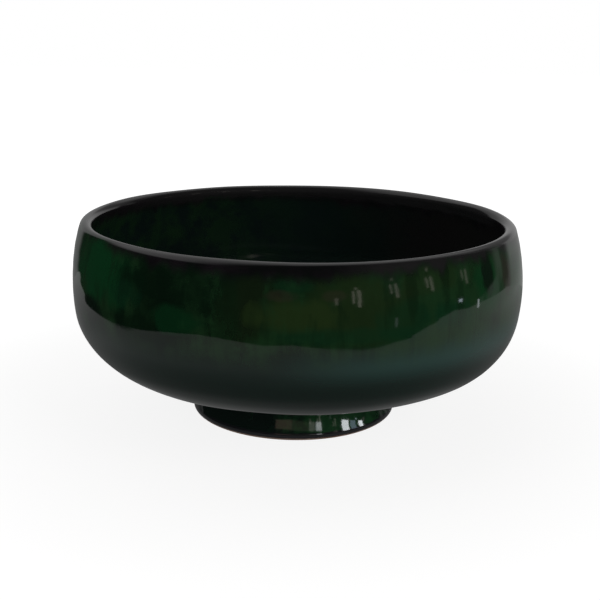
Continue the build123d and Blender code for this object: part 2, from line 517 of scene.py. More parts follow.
@dataclass(frozen=True)
class Drips:
    """The ragged lower edge of the dark glaze that the rim was dipped in.

    Attributes:
        crest: The distance along the bowl's skin to the top of the lip.
        seed: The start of the random draws.
        soft: How far the edge takes to fade.
        inner: How much further down it reaches inside the bowl.
        loose: How many runs fall anywhere.
        longest: The length of the longest runs, in millimetres.
        runs: Bearings of the longest runs, in degrees.
    """

    crest: float
    seed: int = 5
    soft: float = 4.2 * MM
    inner: float = 2.0 * MM
    loose: int = 18
    longest: float = 2.4
    runs: tuple[float, ...] = (26.0, 35.0, 50.0, -29.0, 112.0, 151.0, -128.0, -97.0)

    def reach(self, around: np.ndarray, inside: bool) -> np.ndarray:
        """How far down from the lip's top the dark glaze reaches, at angles round the axis.

        Depths given at a few bearings are joined by straight lines. Waves with 7 to 53 turns
        and narrow runs, each depth * e^-(angle / width)^2, are added to them.

        Args:
            around: The angles.
            inside: Whether the edge is the one inside the bowl.

        Returns:
            The depths.
        """
        draw = np.random.default_rng(self.seed + int(inside))
        bearing = (np.degrees(around) + 270.0) % 360.0 - 180.0
        marks = (-180, -150, -120, -90, -70, -54, -40, -22, 0, 20, 40, 60, 80, 110, 145, 180)
        depths = (6.5, 5.5, 7.0, 5.0, 2.6, 3.2, 6.0, 7.2, 8.6, 7.4, 5.6, 5.4, 7.5, 6.5, 7.6, 6.5)
        reach = np.interp(bearing, marks, depths) * MM + inside * self.inner
        for turns in (7, 13, 19, 27, 38, 53):
            reach += 1.5 * MM / turns**0.5 * np.cos(turns * around + draw.uniform(0.0, TURN))
        set_runs = np.array(self.runs) - 90.0
        middles = np.concatenate([draw.uniform(0.0, 360.0, self.loose), set_runs]) * DEGREE
        lengths = draw.uniform(0.6, self.longest, self.loose)
        lengths = np.concatenate([lengths, np.full(len(self.runs), self.longest)]) * MM
        widths = draw.uniform(0.9, 1.9, len(middles)) * DEGREE
        for middle, length, width in zip(middles, lengths, widths):
            apart = (around - middle + math.pi) % TURN - math.pi
            reach += length * np.exp(-((apart / width) ** 2))
        return reach

    def darkness(self, around: np.ndarray, along: np.ndarray) -> np.ndarray:
        """How dark the rim's glaze is, 1 at the lip and 0 below its ragged edge.

        Args:
            around: Angles round the axis.
            along: Distances along the skin.

        Returns:
            The darkness, from 0 to 1.
        """
        below = np.abs(along - self.crest)
        reach = np.where(along > self.crest, self.reach(around, True), self.reach(around, False))
        return np.clip(0.5 - 0.5 * (below - reach) / self.soft, 0.0, 1.0)


# --- Meshes ---


@dataclass(frozen=True)
class Wheel:
    """Turns outlines into closed meshes with the potter's unevenness on them.

    Attributes:
        hand: The unevenness.
        drips: The rim's dark edge.
        around: How many points usually go round.
    """

    hand: Hand
    drips: Drips
    around: int = 480

    def mesh(self, name: str, outline: Skin, around: int = 0) -> bpy.types.Object:
        """Carries an outline round the axis.

        Point (k, j) of the grid is outline row k at angle 2 pi j / n, raised along the row's
        normal by the relief less the row's depth. The outline is turned round where its area is
        negative, so that the faces point outwards.

        Args:
            name: The piece's name.
            outline: Its closed outline, or an open one with both ends on the axis.
            around: How many points go round, or 0 for the usual number.

        Returns:
            The piece's object, at the origin.
        """
        rows = outline.rows
        r, z = (rows[:, 0:2] - rows[:, 2:4] * rows[:, 5:6]).T
        area = np.sum(r * np.roll(z, -1) - np.roll(r, -1) * z)
        rows = rows if area > 0 else rows[::-1]
        n = around or self.around
        angle = np.arange(n)[None, :] * TURN / n
        raised = self.hand.relief(angle, rows) - rows[:, 5:6]
        r = rows[:, 0:1] + rows[:, 2:3] * raised
        z = rows[:, 1:2] + rows[:, 3:4] * raised
        dark = self.drips.darkness(angle, rows[:, 4:5])
        return self.built(name, self.hand.stray(r, z, angle), dark, rows[:, 0] < ON_AXIS)

    @staticmethod
    def built(name: str, points: np.ndarray, dark: np.ndarray, axial: np.ndarray) -> bpy.types.Object:
        """Makes an object from a grid of points.

        The face between two rows and two steps has the four points around it. A row on the axis
        has one number for all its points, so its faces lose a corner, and vanish between two such.

        Args:
            name: The piece's name.
            points: Points by row and by step round the axis.
            dark: The rim's darkness at each point.
            axial: Which rows lie on the axis.

        Returns:
            The object.
        """
        number = np.arange(dark.size).reshape(dark.shape)
        number[axial] = number[axial, :1]
        used, number = np.unique(number, return_inverse=True)
        lower = number.reshape(dark.shape)
        upper = np.roll(lower, -1, axis=0)
        around = [lower, np.roll(lower, -1, axis=1), np.roll(upper, -1, axis=1), upper]
        faces = np.stack(around, axis=-1).reshape(-1, 4)
        kept = faces != np.roll(faces, 1, axis=1)
        whole = kept.sum(axis=1) > 2
        faces, kept = faces[whole], kept[whole]
        size = kept.sum(axis=1)
        mesh = bpy.data.meshes.new(name)
        mesh.vertices.add(len(used))
        mesh.vertices.foreach_set("co", points.reshape(-1, 3)[used].astype(np.float32).reshape(-1))
        mesh.loops.add(int(size.sum()))
        mesh.loops.foreach_set("vertex_index", faces[kept].astype(np.int32))
        mesh.polygons.add(len(size))
        mesh.polygons.foreach_set("loop_start", (np.cumsum(size) - size).astype(np.int32))
        mesh.update(calc_edges=True)
        mesh.polygons.foreach_set("use_smooth", np.ones(len(size), dtype=bool))
        mesh.set_sharp_from_angle(angle=CREASE)
        band = mesh.attributes.new(name="rim_band", type="FLOAT", domain="POINT")
        band.data.foreach_set("value", dark.reshape(-1)[used].astype(np.float32))
        piece = bpy.data.objects.new(name, mesh)
        bpy.context.scene.collection.objects.link(piece)
        return piece


# --- Shader maths ---

Number = Union["Signal", float]
Colour = tuple[float, float, float, float]


def rgb(red: float, green: float, blue: float) -> Colour:
    """An opaque colour."""
    return red, green, blue, 1.0


WHITE = rgb(1.0, 1.0, 1.0)


@dataclass(frozen=True)
class Signal:
    """A number, colour or vector that a node gives, with arithmetic for numbers."""

    shade: "Shade"
    socket: bpy.types.NodeSocket

    def __add__(self, other: Number) -> "Signal":
        """The sum."""
        return self.shade.math("ADD", self, other)

    def __sub__(self, other: Number) -> "Signal":
        """The difference."""
        return self.shade.math("SUBTRACT", self, other)

    def __mul__(self, other: Number) -> "Signal":
        """The product."""
        return self.shade.math("MULTIPLY", self, other)

    def __truediv__(self, other: Number) -> "Signal":
        """The quotient."""
        return self.shade.math("DIVIDE", self, other)

    def __rsub__(self, other: float) -> "Signal":
        """The difference from a plain number."""
        return self.shade.math("SUBTRACT", other, self)

    __radd__ = __add__


class Shade:
    """A node tree that nodes are added to."""

    def __init__(self, tree: bpy.types.NodeTree) -> None:
        """Takes a tree and empties it."""
        self.tree = tree
        tree.nodes.clear()

    def node(self, kind: str, settings: dict[str, Any], inputs: dict[Any, Any]) -> bpy.types.Node:
        """Adds a node.

        Args:
            kind: The node's type.
            settings: Its properties, which are set first.
            inputs: The value or the signal of each socket, by its name or number.

        Returns:
            The node.
        """
        made = self.tree.nodes.new(kind)
        for key, value in settings.items():
            setattr(made, key, value)
        for key, value in inputs.items():
            if isinstance(value, Signal):
                self.tree.links.new(value.socket, made.inputs[key])
            else:
                made.inputs[key].default_value = value
        return made

    def signal(
        self, kind: str, settings: dict[str, Any], inputs: dict[Any, Any], output: Any = 0
    ) -> Signal:
        """Adds a node and gives one of its outputs."""
        return Signal(self, self.node(kind, settings, inputs).outputs[output])

    def math(self, operation: str, *values: Number) -> Signal:
        """Adds a Math node on numbers."""
        return self.signal("ShaderNodeMath", {"operation": operation}, dict(enumerate(values)))

    def step(self, value: Number, low: float, high: float, start: float = 0.0, end: float = 1.0) -> Signal:
        """A smooth step from start at low to end at high."""
        inputs = {"Value": value, "From Min": low, "From Max": high, "To Min": start, "To Max": end}
        return self.signal("ShaderNodeMapRange", {"interpolation_type": "SMOOTHSTEP"}, inputs)

    def blend(self, share: Number, first: Union[Signal, Colour], second: Union[Signal, Colour]) -> Signal:
        """A colour between two others."""
        return self.signal("ShaderNodeMix", {"data_type": "RGBA"}, {0: share, 6: first, 7: second}, 2)

    def split(self, vector: Signal) -> tuple[Signal, Signal, Signal]:
        """The three parts of a vector."""
        parts = self.node("ShaderNodeSeparateXYZ", {}, {0: vector})
        return tuple(Signal(self, parts.outputs[k]) for k in range(3))

    def stretched(self, vector: Signal, scale: tuple[float, float, float]) -> Signal:
        """A vector with each part scaled."""
        return self.signal("ShaderNodeVectorMath", {"operation": "MULTIPLY"}, {0: vector, 1: scale})

    def noise(self, place: Signal, scale: float, detail: float = 3.0, roughness: float = 0.5) -> Signal:
        """Cloudy noise about 0.5."""
        inputs = {"Vector": place, "Scale": scale, "Detail": detail, "Roughness": roughness}
        return self.signal("ShaderNodeTexNoise", {}, inputs)

    def bump(self, height: Signal, depth: float) -> Signal:
        """A normal bent by a height of up to depth metres."""
        inputs = {"Height": height, "Distance": depth, "Strength": 1.0}
        return self.signal("ShaderNodeBump", {}, inputs)

    def place(self) -> Signal:
        """The place on the piece."""
        return self.signal("ShaderNodeTexCoord", {}, {}, "Object")

    def reach(self, x: Signal, y: Signal) -> Signal:
        """The distance from the axis."""
        return self.math("SQRT", x * x + y * y + NOT_ZERO)

    def toward(self, x: Signal, y: Signal, bearing: float) -> Signal:
        """The cosine of the angle round the axis from a bearing, which is 0 at -Y and 90 at +X."""
        across = x * math.sin(bearing * DEGREE) - y * math.cos(bearing * DEGREE)
        return across / self.reach(x, y)

    def glowing(self, strength: Number) -> Signal:
        """A surface that gives white light."""
        return self.signal("ShaderNodeEmission", {}, {"Color": WHITE, "Strength": strength})

    def put_out(self, surface: Signal, kind: str = "ShaderNodeOutputMaterial") -> None:
        """Ends the tree with a surface."""
        self.node(kind, {}, {"Surface": surface})


# --- Finishes ---


def new_finish(name: str) -> tuple[bpy.types.Material, Shade]:
    """Starts a material.

    Args:
        name: Its name.

    Returns:
        The material and its empty tree.
    """
    material = bpy.data.materials.new(name)
    material.use_nodes = True
    return material, Shade(material.node_tree)


@dataclass(frozen=True)
class Patch:
    """A soft-edged mottle in the glaze.

    Attributes:
        bearing: The direction of its middle, 0 at -Y and 90 at +X, in degrees.
        width: Half its width, in degrees.
        height: The height of its middle.
        depth: Half its height.
        colour: Its colour.
        share: How much of the colour shows.
    """

    bearing: float
    width: float
    height: float
    depth: float
    colour: Colour
    share: float = 1.0

    def laid(self, shade: Shade, place: Signal, wander: Signal, base: Signal) -> Signal:
        """Lays the mottle over a colour.

        The squared distance from its middle is (1 - cos a) / (1 - cos width) + ((z - height) /
        depth)^2, where a is the angle round the axis, and noise makes its edge wander.

        Args:
            shade: The material's nodes.
            place: The place on the bowl.
            wander: Noise about 0.
            base: The colour below.

        Returns:
            The colour.
        """
        x, y, z = shade.split(place)
        across = (1 - shade.toward(x, y, self.bearing)) / (1 - math.cos(self.width * DEGREE))
        up = (z - self.height) / self.depth
        mask = shade.step(across + up * up + wander, 1.7, 0.25)
        return shade.blend(mask * self.share, base, self.colour)


@dataclass(frozen=True)
class Glaze:
    """A thick bright green glaze with a manganese-dark rim that has run down into it.

    Attributes:
        name: The material's name.
        deep: The green where the glaze is thick, in the linear values that colours here have.
        clear: The green where it is thinner.
        emerald: A purer green.
        olive: The colour where the warm clay shows through.
        pooled: The colour where it has pooled low on the belly.
        painted_teal: The bluer colour of the pool on the right, a painted reflection.
        plum: The rim's dark glaze.
        soot: The same where it is blackest.
        ash: The same where it is thin and grey, on the right and at the far right.
        gloss: The roughness.
        seed: The start of the random draws for the mottles behind.
    """

    name: str
    deep: Colour = rgb(0.0040, 0.0160, 0.0060)
    clear: Colour = rgb(0.0150, 0.0540, 0.0185)
    emerald: Colour = rgb(0.0055, 0.0640, 0.0190)
    olive: Colour = rgb(0.0260, 0.0520, 0.0140)
    pooled: Colour = rgb(0.0010, 0.0170, 0.0105)
    painted_teal: Colour = rgb(0.0150, 0.0700, 0.0580)
    plum: Colour = rgb(0.0125, 0.0098, 0.0128)
    soot: Colour = rgb(0.0058, 0.0065, 0.0068)
    ash: Colour = rgb(0.0210, 0.0205, 0.0215)
    gloss: float = 0.05
    seed: int = 9

    def patches(self) -> tuple[Patch, ...]:
        """The mottles, some of them painted reflections: those in front from left to right, the runs below
        the rim, and those behind.

        Returns:
            The mottles, the lowest layer first.
        """
        moss, jade = rgb(0.0105, 0.0215, 0.0080), rgb(0.0060, 0.0460, 0.0180)
        # The tan and the brownish colour are for painted reflections.
        tan, painted_brown = rgb(0.0460, 0.0400, 0.0270), rgb(0.0290, 0.0215, 0.0140)
        mixed, night = rgb(0.0190, 0.0420, 0.0130), rgb(0.0025, 0.0125, 0.0055)
        front = (
            Patch(-52.0, 15.0, 76.0 * MM, 13.0 * MM, self.emerald),
            Patch(-62.0, 16.0, 60.0 * MM, 5.0 * MM, night),
            Patch(-28.5, 18.0, 78.0 * MM, 15.0 * MM, night, 0.9),
            Patch(-36.0, 11.0, 60.0 * MM, 6.0 * MM, night, 0.8),
            Patch(-42.0, 5.0, 71.0 * MM, 5.0 * MM, jade, 0.5),
            Patch(-27.0, 6.5, 65.5 * MM, 5.0 * MM, self.emerald, 0.5),
            Patch(-11.0, 7.0, 71.0 * MM, 13.0 * MM, moss, 0.8),
            Patch(13.0, 11.0, 72.0 * MM, 12.0 * MM, mixed, 0.8),
            Patch(-1.0, 9.5, 70.0 * MM, 6.0 * MM, self.olive, 0.8),
            Patch(-1.0, 4.0, 81.0 * MM, 2.5 * MM, jade, 0.4),
            # Painted reflections: two small tan smears in the middle.
            Patch(-3.5, 3.5, 77.5 * MM, 2.0 * MM, tan, 0.4),
            Patch(8.0, 2.2, 77.5 * MM, 2.0 * MM, tan, 0.4),
            Patch(8.0, 14.0, 62.5 * MM, 3.0 * MM, jade, 0.5),
            Patch(24.0, 6.0, 66.0 * MM, 7.0 * MM, jade, 0.5),
            Patch(37.0, 6.0, 67.0 * MM, 6.0 * MM, jade, 0.7),
            Patch(33.0, 9.0, 81.0 * MM, 5.0 * MM, mixed, 0.6),
            Patch(50.0, 5.0, 75.0 * MM, 9.0 * MM, self.emerald, 0.6),
        )
        runs = (
            Patch(26.0, 1.3, 79.0 * MM, 9.0 * MM, self.deep, 0.45),
            Patch(35.0, 1.4, 80.0 * MM, 10.0 * MM, self.deep, 0.55),
            Patch(50.0, 2.0, 81.0 * MM, 9.0 * MM, self.soot, 0.75),
            # Painted reflection: a brownish streak on the right.
            Patch(59.0, 2.6, 76.0 * MM, 8.0 * MM, painted_brown, 0.7),
        )
        draw = np.random.default_rng(self.seed)
        colours = (self.emerald, moss, jade, self.olive, night, mixed)
        behind = []
        for k, bearing in enumerate(range(76, 290, 17)):
            width, height, depth = draw.uniform((6.0, 66.0, 6.0), (12.0, 78.0, 12.0))
            colour = colours[k % len(colours)]
            behind.append(Patch(bearing, width, height * MM, depth * MM, colour, 0.85))
        return front + runs + tuple(behind)

    def greens(self, shade: Shade, place: Signal, streaks: Signal, clouds: Signal) -> Signal:
        """The green all over, before the rim is dipped.

        It is clear and deep green in clouds, clearer on the right, with the mottles and dark runs
        laid over it, and pooled low on the belly, where a painted reflection turns it bluish on the right.

        Args:
            shade: The material's nodes.
            place: The place on the bowl.
            streaks: Noise drawn out downwards.
            clouds: Round noise.

        Returns:
            The colour.
        """
        x, y, z = shade.split(place)
        wander = (clouds - 0.5) * 3.4 + (streaks - 0.5) * 3.0
        mottle = streaks * 0.5 + clouds * 0.5
        colour = shade.blend(shade.step(mottle, 0.42, 0.60), self.deep, self.clear)
        right = shade.step(shade.toward(x, y, 42.0), 0.84, 0.97)
        colour = shade.blend(right * shade.step(mottle, 0.30, 0.50) * 0.8, colour, self.clear)
        for patch in self.patches():
            colour = patch.laid(shade, place, wander, colour)
        runs = shade.step(streaks, 0.54, 0.66) * 0.45
        colour = shade.blend(runs, colour, self.deep)
        low = shade.step(z + (clouds - 0.5) * 0.008, 0.060, 0.047)
        # Painted reflection: the pool turns bluish on the right.
        blue = shade.step(shade.toward(x, y, 44.0), 0.60, 0.95) * shade.step(z, 0.040, 0.052)
        return shade.blend(low, colour, shade.blend(blue, self.pooled, self.painted_teal))

    def made(self) -> bpy.types.Material:
        """Builds the material: the greens, with the dark rim's glaze where its band is strong.

        Returns:
            The material.
        """
        material, shade = new_finish(self.name)
        place = shade.place()
        streaks = shade.noise(shade.stretched(place, (1.0, 1.0, 0.16)), 110.0, 4.0, 0.6)
        clouds = shade.noise(place, 62.0, 4.0, 0.62)
        fine = shade.noise(shade.stretched(place, (1.0, 1.0, 0.35)), 330.0, 3.0, 0.6)
        colour = self.greens(shade, place, streaks, clouds)
        band = shade.signal("ShaderNodeAttribute", {"attribute_name": "rim_band"}, {}, "Fac")
        ragged = shade.step(band + (streaks - 0.5) * 0.8 + (fine - 0.5) * 0.4, 0.18, 0.86)
        x, y, z = shade.split(place)
        dark = shade.blend(shade.step(clouds, 0.4, 0.6), self.soot, self.plum)
        lip = shade.step(z + (clouds - 0.5) * 0.003, 80.5 * MM, 84.5 * MM)
        far_side = shade.step(shade.toward(x, y, 125.0), 0.84, 0.97) + shade.step(y, 20 * MM, 75 * MM) * 0.6
        greyed = shade.step(shade.toward(x, y, 42.0), 0.80, 0.97) + far_side * lip * 1.6
        dark = shade.blend(greyed * ragged, dark, self.ash)
        colour = shade.blend(ragged, colour, dark)
        gloss = self.gloss + clouds * 0.03 + ragged * 0.04
        dimples = shade.noise(place, 520.0, 2.0, 0.5)
        skin = shade.bump(dimples, 0.006 * MM)
        inputs = {"Base Color": colour, "Roughness": gloss, "IOR": 1.52, "Normal": skin}
        surface = shade.signal("ShaderNodeBsdfPrincipled", {}, inputs)
        shade.put_out(surface)
        return material


@dataclass(frozen=True)
class InnerGlaze(Glaze):
    """The same glaze inside the bowl, thicker and darker, with painted shade that takes it almost to
    blackness on its right side.

    Attributes:
        painted_shade: The colour of the painted shade on the right side.
    """

    deep: Colour = rgb(0.0066, 0.0148, 0.0132)
    clear: Colour = rgb(0.0100, 0.0300, 0.0130)
    painted_shade: Colour = rgb(0.0130, 0.0125, 0.0125)
    gloss: float = 0.12

    def greens(self, shade: Shade, place: Signal, streaks: Signal, clouds: Signal) -> Signal:
        """The green inside, mottled on the left, with painted shade that deepens it and takes it almost to
        blackness on the right.

        Args:
            shade: The material's nodes.
            place: The place in the bowl.
            streaks: Noise drawn out downwards.
            clouds: Round noise.

        Returns:
            The colour.
        """
        x, _, _ = shade.split(place)
        mottle = streaks * 0.15 + clouds * 0.85
        colour = shade.blend(shade.step(mottle, 0.40, 0.60), self.deep, self.clear)
        # Painted shade: deeper green, then almost blackness, towards +X, where the inner wall faces away
        # from the lamps.
        side = shade.step(x + (clouds - 0.5) * 0.06, -0.060, 0.020)
        colour = shade.blend(side * 0.85, colour, self.deep)
        return shade.blend(shade.step(x + (clouds - 0.5) * 0.05, 0.02, 0.075), colour, self.painted_shade)


@dataclass(frozen=True)
class FootGlaze(Glaze):
    """The same glaze on the foot, in upright runs of dark and clear green.

    Attributes:
        painted_toe_reflection: The colour at the toe, a painted grey reflection of the table.
    """

    deep: Colour = rgb(0.0085, 0.0190, 0.0150)
    clear: Colour = rgb(0.0190, 0.0850, 0.0300)
    painted_toe_reflection: Colour = rgb(0.0190, 0.0200, 0.0235)

    def greens(self, shade: Shade, place: Signal, streaks: Signal, clouds: Signal) -> Signal:
        """The green of the foot, clearer on the right, over a painted grey reflection at the toe.

        Args:
            shade: The material's nodes.
            place: The place on the foot.
            streaks: Noise drawn out downwards.
            clouds: Round noise.

        Returns:
            The colour.
        """
        x, y, z = shade.split(place)
        right = shade.step(shade.toward(x, y, 30.0), 0.6, 1.0) * 0.16
        mottle = streaks * 0.5 + clouds * 0.5 + right
        green = shade.blend(shade.step(mottle, 0.52, 0.72), self.deep, self.clear)
        # Painted reflection: grey low on the toe.
        return shade.blend(shade.step(z + (streaks - 0.5) * 0.001, 3.9 * MM, 3.2 * MM), green, self.painted_toe_reflection)


@dataclass(frozen=True)
class Clay:
    """Bare fired earthenware, rough and pinkish, with darker specks and turning marks.

    Attributes:
        name: The material's name.
        pale: The colour of the clay.
        toasted: Its colour where the fire caught it.
        speck: The colour of its specks.
        turning: The spacing of the turning marks.
    """

    name: str
    pale: Colour = rgb(0.50, 0.35, 0.28)
    toasted: Colour = rgb(0.34, 0.19, 0.13)
    speck: Colour = rgb(0.10, 0.055, 0.035)
    turning: float = 1.3 * MM

    def made(self) -> bpy.types.Material:
        """Builds the material, with the marks as sin(2 pi r / spacing) and some noise in its bump.

        Returns:
            The material.
        """
        material, shade = new_finish(self.name)
        place = shade.place()
        x, y, _ = shade.split(place)
        clouds = shade.noise(place, 60.0, 4.0, 0.6)
        grain = shade.noise(place, 1500.0, 2.0, 0.6)
        specks = shade.signal("ShaderNodeTexVoronoi", {}, {"Vector": place, "Scale": 700.0}, "Distance")
        colour = shade.blend(shade.step(clouds, 0.35, 0.7), self.pale, self.toasted)
        colour = shade.blend(shade.step(specks, 0.16, 0.08) * 0.8, colour, self.speck)
        marks = shade.math("SINE", shade.reach(x, y) * (TURN / self.turning) + clouds * 3.0)
        skin = shade.bump(marks * 0.3 + grain, 0.08 * MM)
        inputs = {"Base Color": colour, "Roughness": 0.78 + grain * 0.2, "Normal": skin}
        surface = shade.signal("ShaderNodeBsdfPrincipled", {}, inputs)
        shade.put_out(surface)
        return material


# --- The bowl's pieces ---


def dressed(piece: bpy.types.Object, node: str, material: bpy.types.Material) -> None:
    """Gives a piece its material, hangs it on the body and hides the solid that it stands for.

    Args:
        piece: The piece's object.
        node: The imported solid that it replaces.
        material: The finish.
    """
    piece.data.materials.append(material)
    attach(piece, BODY)
    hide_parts(node)
    log.info("%s: %d points", piece.name, len(piece.data.vertices))


@dataclass(frozen=True)
class Vessel:
    """The bowl itself: its thrown clay and the three coats over it.

    Attributes:
        form: The true outline.
        wheel: What turns outlines into meshes.
        skin: The finished surface from the foot, over the lip and down to the middle of the floor.
        lip_start: The distance along it where the lip's half round starts.
        lip_end: The distance where the half round ends.
        gap: How far the clay lies below the coats, to keep the two apart.
        crowd: How strongly the points are crowded at each coat's edges.
    """

    form: BowlForm
    wheel: Wheel
    skin: Skin
    lip_start: float
    lip_end: float
    gap: float = 0.02 * MM
    crowd: float = 0.72

    def build(self, outer: bpy.types.Material, inner: bpy.types.Material, clay: bpy.types.Material) -> None:
        """Makes the clay and the outer, rim and inner coats.

        Args:
            outer: The finish outside and over the rim.
            inner: The finish inside.
            clay: The bare clay.
        """
        below, above = self.lip_start - self.form.rim_outside, self.lip_end + self.form.rim_inside
        coats = (
            ("outer_green_glaze", "outer_glaze", Slot.GREEN, outer, (0.0, below, 100)),
            ("rim_dark_glaze", "rim_glaze", Slot.RIM, outer, (below, above, 60)),
            ("inner_green_glaze", "inner_glaze", Slot.GREEN, inner, (above, self.skin.length(), 98)),
        )
        for name, node, slot, material, stretch in coats:
            run = self.skin.part(*stretch, self.crowd)
            dressed(self.wheel.mesh(name, run.coat(self.form.glaze)), node, material)
        dressed(self.wheel.mesh("bowl_clay", self.clay_outline(), 240), "bowl_body", clay)

    def clay_outline(self) -> Skin:
        """The clay's outline, from the recess's middle out to the foot and over the whole wall.

        Returns:
            The outline, with both ends on the axis.
        """
        form = self.form
        ceiling = form.recess_circle()
        edge = ceiling.low(form.recess_radius)
        recess = Skin.arc(ceiling, -math.pi / 2, ceiling.angle_to(*edge), -1, 2 * MM)
        seat = Skin.line(edge, form.clay_underside().low(form.corner()[0] - form.glaze))
        wall = self.skin.part(form.glaze, self.skin.length(), 240).sunk(form.glaze + self.gap)
        return Skin(np.concatenate([recess.rows, seat.rows, wall.rows]))


@dataclass(frozen=True)
class Foot:
    """The luted foot: its clay ring, the slip that holds it, its glaze and the glazed recess.

    Attributes:
        form: The true outline.
        wheel: What turns outlines into meshes.
        gap: How far the clay lies below the coat, to keep the two apart.
    """

    form: BowlForm
    wheel: Wheel
    gap: float = 0.02 * MM

    def glazed_length(self) -> float:
        """The distance down the foot where its glaze ends."""
        bare = (self.form.foot_glaze_end + math.pi / 2) * self.form.toe_round
        return self.form.foot_outside().length() - bare

    def build(self, green: bpy.types.Material, clay: bpy.types.Material) -> bpy.types.Object:
        """Makes the ring, the slip and both coats.

        Args:
            green: The finish of the coats.
            clay: The bare clay.

        Returns:
            The foot's outer coat.
        """
        form = self.form
        outline = form.foot_outside().part(0.0, self.glazed_length(), 64, 0.6).coat(form.glaze)
        coat = self.wheel.mesh("foot_green_glaze", outline)
        ring = self.wheel.mesh("foot_clay_ring", self.ring_outline())
        slip = self.wheel.mesh("foot_slip_joint", self.slip_outline(), 360)
        recess = self.wheel.mesh("recess_green_glaze", self.recess_outline(), 360)
        dressed(coat, "foot_glaze", green)
        dressed(ring, "foot_ring", clay)
        dressed(slip, "luting_slip", clay)
        dressed(recess, "base_glaze", green)
        return coat

    def ring_outline(self) -> Skin:
        """The clay ring's outline: under the glaze, round the bare toe, up inside and over the seat.

        Returns:
            The closed outline.
        """
        form, end = self.form, self.glazed_length()
        outside = form.foot_outside()
        covered = outside.part(0.0, end, 30).sunk(form.glaze + self.gap)
        bare = outside.part(end, outside.length(), 16)
        seat = form.foot_seat()
        top = Skin.line(seat.low(form.recess_radius), seat.low(form.corner()[0] - form.glaze))
        runs = [covered.rows, bare.rows, form.foot_inside().rows[1:], top.rows[1:]]
        return Skin(np.concatenate(runs))

    def slip_outline(self) -> Skin:
        """The slip's outline, between the ring's seat and the bowl's clay.

        Returns:
            The closed outline.
        """
        form = self.form
        outer_r = form.corner()[0] - form.glaze
        under, over = form.foot_seat(), form.clay_underside()
        low = Skin.line(under.low(form.recess_radius), under.low(outer_r))
        high = Skin.line(over.low(outer_r), over.low(form.recess_radius))
        return Skin(np.concatenate([low.rows, high.rows]))

    def recess_outline(self) -> Skin:
        """The recess coat's outline, from its middle out to the ring and back.

        Returns:
            The outline, with both ends on the axis.
        """
        under = self.form.recess_circle().grown(self.form.glaze)
        edge = under.angle_to(*under.low(self.form.recess_radius))
        return Skin.arc(under, -math.pi / 2, edge, -1, 1 * MM).coat(self.form.glaze)


# --- The studio ---

# The colour of daylight through blinds.
BEIGE = (1.0, 0.93, 0.82)


@dataclass(frozen=True)
class Lamp:
    """A soft rectangular light.

    Attributes:
        name: Its name.
        bearing: Its direction from the bowl, 0 at -Y and 90 at +X, in degrees.
        rise: Its height above the horizon, in degrees.
        width: Its width.
        height: Its height.
        glow: Its brightness, where 1 is as bright as white paper in the studio.
        colour: Its colour.
        away: Its distance.
        matt: Whether it lights matt surfaces, where the others only show in reflections.
    """

    name: str
    bearing: float
    rise: float
    width: float
    height: float
    glow: float
    colour: tuple[float, float, float]
    away: float = 2.0
    matt: bool = False

    def build(self, target: Vector) -> bpy.types.Object:
        """Hangs the light, facing a point.

        Args:
            target: The point that it faces.

        Returns:
            The light.
        """
        bearing, rise = self.bearing * DEGREE, self.rise * DEGREE
        level = math.cos(rise)
        way = Vector((math.sin(bearing) * level, -math.cos(bearing) * level, math.sin(rise)))
        data = bpy.data.lights.new(self.name, "AREA")
        data.shape = "RECTANGLE"
        data.size = self.width
        data.size_y = self.height
        data.energy = self.glow * math.pi * self.width * self.height
        data.color = self.colour
        lamp = bpy.data.objects.new(self.name, data)
        turned = way.to_track_quat("Z", "Y").to_matrix().to_4x4()
        lamp.matrix_world = Matrix.Translation(target + way * self.away) @ turned
        lamp.visible_camera = False
        lamp.visible_glossy = not self.matt
        lamp.visible_diffuse = self.matt
        bpy.context.scene.collection.objects.link(lamp)
        return lamp


@dataclass(frozen=True)
class Eye:
    """The camera.

    Attributes:
        away: Its distance in front of the bowl.
        rise: Its height.
        dip: How far it looks down, in radians.
        roll: How far it is turned about its own line of sight.
        yaw: How far it looks to the side.
        lens: Its focal length, in millimetres.
        sensor: The width of its sensor, in millimetres.
        near: The nearest that it sees.
    """

    away: float = 0.4700
    rise: float = 0.1761
    dip: float = 0.2617
    roll: float = -0.0168
    yaw: float = 0.0026
    lens: float = 64.0
    sensor: float = 36.0
    near: float = 0.01

    def build(self) -> None:
        """Sets the camera up as the scene's."""
        level = math.cos(self.dip)
        ahead = Vector((math.sin(self.yaw) * level, math.cos(self.yaw) * level, -math.sin(self.dip)))
        right = ahead.cross(Vector((0, 0, 1))).normalized()
        down = ahead.cross(right)
        across = right * math.cos(self.roll) + down * math.sin(self.roll)
        below = down * math.cos(self.roll) - right * math.sin(self.roll)
        turned = Matrix((across, -below, -ahead)).transposed().to_4x4()
        data = bpy.data.cameras.new("eye")
        data.lens = self.lens
        data.sensor_width = self.sensor
        data.clip_start = self.near
        camera = bpy.data.objects.new("eye", data)
        camera.matrix_world = Matrix.Translation((0.0, -self.away, self.rise)) @ turned
        bpy.context.scene.collection.objects.link(camera)
        bpy.context.scene.camera = camera


